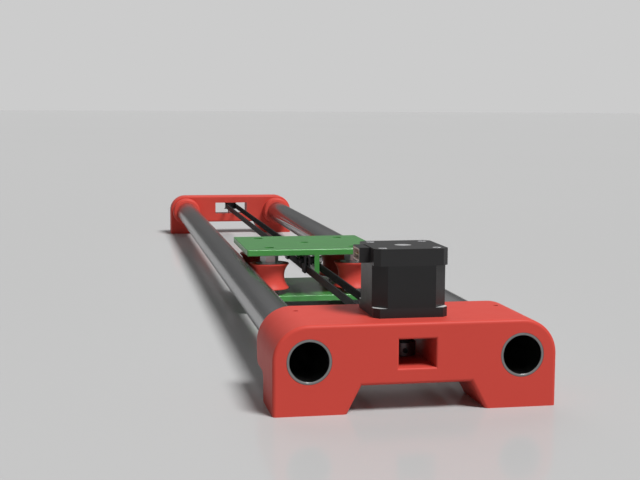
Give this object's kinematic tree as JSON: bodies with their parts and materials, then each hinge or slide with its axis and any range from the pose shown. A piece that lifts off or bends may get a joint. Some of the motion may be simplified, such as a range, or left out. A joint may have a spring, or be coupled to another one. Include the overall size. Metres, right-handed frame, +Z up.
{
  "type": "motorized camera slider",
  "caption": "Camera slider with twin tube rails, printed end blocks, belt drive by a stepper motor and a roller carriage with a mounting plate.",
  "frame": {"origin": "bottom centre of the whole object, on the surface that the feet stand on, midway between the end faces and between the tubes", "axes": "+Z up, +Y along the tubes away from the motor end, +X to the right when looking along +Y"},
  "size_m": [0.16, 0.96, 0.088],
  "materials": {
    "red_print": "matt printed plastic, red",
    "green_plate": "glossy plastic, green",
    "tube_metal": "drawn tube, satin polished",
    "motor_black": "black satin coating",
    "stator_black": "black laminations, fine horizontal lines",
    "steel": "bright zinc plated steel",
    "black_steel": "black oxide screw",
    "bearing_steel": "ground bearing steel",
    "connector_plastic": "black moulded nylon",
    "header_nylon": "natural white nylon",
    "pin_metal": "tinned brass pins",
    "belt_rubber": "black toothed rubber belt",
    "pulley_metal": "dark anodised aluminium",
    "clamp_plastic": "black plastic"
  },
  "bodies": {
    "rails": {"motor_end_block": "red_print", "idler_end_block": "red_print", "left_tube": "tube_metal", "right_tube": "tube_metal", "tube_grub_screws": "black_steel", "motor_flange": "motor_black", "motor_stator": "stator_black", "motor_rear_cap": "motor_black", "motor_case_screws": "steel", "motor_mount_screws": "steel", "motor_connector": "connector_plastic", "motor_connector_header": "header_nylon", "motor_connector_pins": "pin_metal", "motor_outer_races": "bearing_steel", "drive_belt": "belt_rubber", "idler_inner_races": "bearing_steel", "idler_spacers": "steel", "idler_axle_bolt": "steel"},
    "motor_rotor": {"motor_shaft": "steel", "rotor_core": "bearing_steel", "motor_inner_races": "bearing_steel", "drive_pulley": "pulley_metal", "pulley_grub_screws": "black_steel"},
    "idler_wheel": {"idler_pulley": "pulley_metal", "idler_outer_races": "bearing_steel"},
    "carriage": {"carriage_top_plate": "green_plate", "carriage_bottom_plate": "green_plate", "axle_bolts": "steel", "upper_axle_nuts": "steel", "lower_axle_nuts": "steel", "axle_shims": "steel", "roller_inner_races": "bearing_steel", "roller_sleeves": "steel", "belt_clamp_outer_jaws": "clamp_plastic", "belt_clamp_inner_jaws": "clamp_plastic", "belt_clamp_sleeves": "clamp_plastic", "belt_clamp_screws": "black_steel", "belt_clamp_washers": "steel", "belt_clamp_nuts": "steel"},
    "roller_front_left": {"roller_front_left": "red_print", "roller_outer_races_front_left": "bearing_steel"},
    "roller_front_right": {"roller_front_right": "red_print", "roller_outer_races_front_right": "bearing_steel"},
    "roller_rear_left": {"roller_rear_left": "red_print", "roller_outer_races_rear_left": "bearing_steel"},
    "roller_rear_right": {"roller_rear_right": "red_print", "roller_outer_races_rear_right": "bearing_steel"}
  },
  "joints": [
    {"name": "carriage_slide", "type": "slide", "parent": "rails", "child": "carriage", "axis": [0, 1, 0], "range_m": [-0.246, 0.506]},
    {"name": "rotor_spin", "type": "hinge", "parent": "rails", "child": "motor_rotor", "pos_m": [0, -0.445, 0.036], "axis": [0, 0, 1], "continuous": true},
    {"name": "idler_spin", "type": "hinge", "parent": "rails", "child": "idler_wheel", "pos_m": [0, 0.467, 0.036], "axis": [0, 0, 1], "continuous": true},
    {"name": "front_left_roller_spin", "type": "hinge", "parent": "carriage", "child": "roller_front_left", "pos_m": [-0.035, -0.152, 0.0295], "axis": [0, 0, 1], "continuous": true},
    {"name": "front_right_roller_spin", "type": "hinge", "parent": "carriage", "child": "roller_front_right", "pos_m": [0.035, -0.152, 0.0295], "axis": [0, 0, 1], "continuous": true},
    {"name": "rear_left_roller_spin", "type": "hinge", "parent": "carriage", "child": "roller_rear_left", "pos_m": [-0.035, -0.084, 0.0295], "axis": [0, 0, 1], "continuous": true},
    {"name": "rear_right_roller_spin", "type": "hinge", "parent": "carriage", "child": "roller_rear_right", "pos_m": [0.035, -0.084, 0.0295], "axis": [0, 0, 1], "continuous": true}
  ],
  "couplings": [
    {"joint": "rotor_spin", "follows": "carriage_slide", "rad_per_m": -157.08},
    {"joint": "idler_spin", "follows": "carriage_slide", "rad_per_m": -157.08},
    {"joint": "front_left_roller_spin", "follows": "carriage_slide", "rad_per_m": 80},
    {"joint": "front_right_roller_spin", "follows": "carriage_slide", "rad_per_m": -80},
    {"joint": "rear_left_roller_spin", "follows": "carriage_slide", "rad_per_m": 80},
    {"joint": "rear_right_roller_spin", "follows": "carriage_slide", "rad_per_m": -80}
  ]
}
